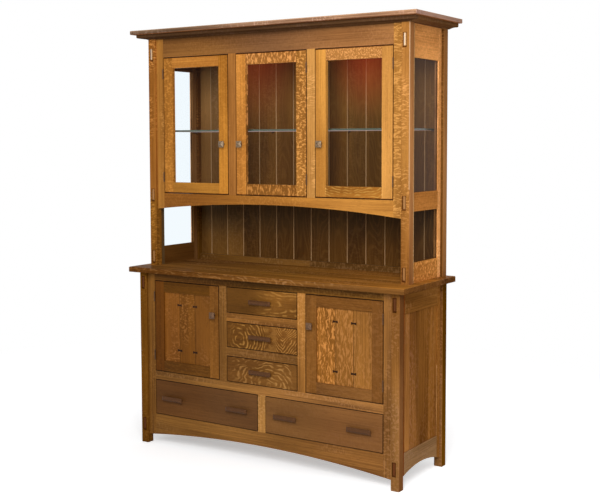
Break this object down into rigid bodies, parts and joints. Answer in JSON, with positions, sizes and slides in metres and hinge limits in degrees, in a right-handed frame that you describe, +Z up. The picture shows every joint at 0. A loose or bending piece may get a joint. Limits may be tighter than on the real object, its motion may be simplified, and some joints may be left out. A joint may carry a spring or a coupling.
{
  "type": "two-part oak hutch",
  "caption": "Mission-style oak hutch: glazed upper case with an open niche, on a base of doors and drawers with a long counter.",
  "frame": {"origin": "on the floor, under the middle of the bounding box", "axes": "+Z up, -Y the front with doors and drawers, +X to the right of someone facing the front"},
  "size_m": [1.644, 0.532, 2.134],
  "materials": {
    "oak": "stained quartersawn oak, satin lacquer",
    "drawer_maple": "clear lacquered maple",
    "back_ply": "stained oak plywood",
    "clear_glass": "clear glass, polished shelf edge",
    "dark_hardware": "hammered dark bronze"
  },
  "bodies": {
    "case": {"base_posts": "oak", "countertop": "oak", "base_rails": "oak", "base_arched_rail": "oak", "base_stiles": "oak", "base_side_frames": "oak", "base_side_panels": "oak", "base_back_panel": "back_ply", "dust_panels": "oak", "base_partitions": "oak", "base_shelves": "oak", "drawer_runners": "drawer_maple", "upper_posts": "oak", "crown_board": "oak", "crown_moulding": "oak", "frieze_rail": "oak", "upper_arched_rail": "oak", "upper_stiles": "oak", "upper_side_frames": "oak", "upper_side_panes": "clear_glass", "upper_back_boards": "oak", "upper_back_rail": "oak", "upper_floor": "oak", "glass_shelf": "clear_glass", "shelf_pins": "dark_hardware", "puck_lights": "dark_hardware", "hinge_frame_leaves": "dark_hardware", "door_catches": "dark_hardware"},
    "left_glass_door": {"left_glass_door_frame": "oak", "left_glass_door_pane": "clear_glass", "left_glass_door_hardware": "dark_hardware"},
    "middle_glass_door": {"middle_glass_door_frame": "oak", "middle_glass_door_pane": "clear_glass", "middle_glass_door_hardware": "dark_hardware"},
    "right_glass_door": {"right_glass_door_frame": "oak", "right_glass_door_pane": "clear_glass", "right_glass_door_hardware": "dark_hardware"},
    "left_cupboard_door": {"left_cupboard_door_frame": "oak", "left_cupboard_door_panel": "oak", "left_cupboard_door_keys": "oak", "left_cupboard_door_hardware": "dark_hardware"},
    "right_cupboard_door": {"right_cupboard_door_frame": "oak", "right_cupboard_door_panel": "oak", "right_cupboard_door_keys": "oak", "right_cupboard_door_hardware": "dark_hardware"},
    "lower_drawer": {"lower_drawer_front": "oak", "lower_drawer_box": "drawer_maple", "lower_drawer_pull": "dark_hardware"},
    "middle_drawer": {"middle_drawer_front": "oak", "middle_drawer_box": "drawer_maple", "middle_drawer_pull": "dark_hardware"},
    "top_drawer": {"top_drawer_front": "oak", "top_drawer_box": "drawer_maple", "top_drawer_pull": "dark_hardware"},
    "bottom_left_drawer": {"bottom_left_drawer_front": "oak", "bottom_left_drawer_box": "drawer_maple", "bottom_left_drawer_pulls": "dark_hardware"},
    "bottom_right_drawer": {"bottom_right_drawer_front": "oak", "bottom_right_drawer_box": "drawer_maple", "bottom_right_drawer_pulls": "dark_hardware"}
  },
  "joints": [
    {"name": "left_glass_door_hinge", "type": "hinge", "parent": "case", "child": "left_glass_door", "pos_m": [-0.66825, -0.131, 1.648], "axis": [0, 0, -1], "range_deg": [0, 110]},
    {"name": "middle_glass_door_hinge", "type": "hinge", "parent": "case", "child": "middle_glass_door", "pos_m": [0.20708, -0.131, 1.648], "axis": [0, 0, 1], "range_deg": [0, 110]},
    {"name": "right_glass_door_hinge", "type": "hinge", "parent": "case", "child": "right_glass_door", "pos_m": [0.66825, -0.131, 1.648], "axis": [0, 0, 1], "range_deg": [0, 110]},
    {"name": "left_cupboard_door_hinge", "type": "hinge", "parent": "case", "child": "left_cupboard_door", "pos_m": [-0.66825, -0.2175, 0.619], "axis": [0, 0, -1], "range_deg": [0, 110]},
    {"name": "right_cupboard_door_hinge", "type": "hinge", "parent": "case", "child": "right_cupboard_door", "pos_m": [0.66825, -0.2175, 0.619], "axis": [0, 0, 1], "range_deg": [0, 110]},
    {"name": "lower_drawer_slide", "type": "slide", "parent": "case", "child": "lower_drawer", "axis": [0, -1, 0], "range_m": [0, 0.33]},
    {"name": "middle_drawer_slide", "type": "slide", "parent": "case", "child": "middle_drawer", "axis": [0, -1, 0], "range_m": [0, 0.33]},
    {"name": "top_drawer_slide", "type": "slide", "parent": "case", "child": "top_drawer", "axis": [0, -1, 0], "range_m": [0, 0.33]},
    {"name": "bottom_left_drawer_slide", "type": "slide", "parent": "case", "child": "bottom_left_drawer", "axis": [0, -1, 0], "range_m": [0, 0.33]},
    {"name": "bottom_right_drawer_slide", "type": "slide", "parent": "case", "child": "bottom_right_drawer", "axis": [0, -1, 0], "range_m": [0, 0.33]}
  ]
}
